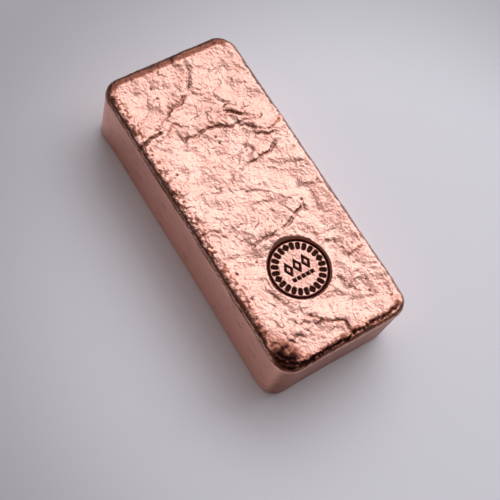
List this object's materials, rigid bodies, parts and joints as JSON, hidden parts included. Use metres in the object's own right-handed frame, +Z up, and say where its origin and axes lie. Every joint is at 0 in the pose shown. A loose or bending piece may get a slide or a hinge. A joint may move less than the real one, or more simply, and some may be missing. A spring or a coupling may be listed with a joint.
{
  "type": "copper ingot",
  "caption": "Small poured copper ingot: a round-cornered slab with slightly leaning walls, a rolled shoulder, a wrinkled open face and a round punch mark near one end.",
  "frame": {"origin": "centre of the footprint, on the flat foot that the ingot rests on", "axes": "+X along the long side, towards the end with the punch mark; +Y across the width; +Z up, out of the poured face"},
  "size_m": [0.0838, 0.0372, 0.0184],
  "materials": {
    "copper": "as cast, bright on the poured face and duller on the walls"
  },
  "bodies": {
    "root": {"copper_ingot": "copper"}
  },
  "joints": []
}
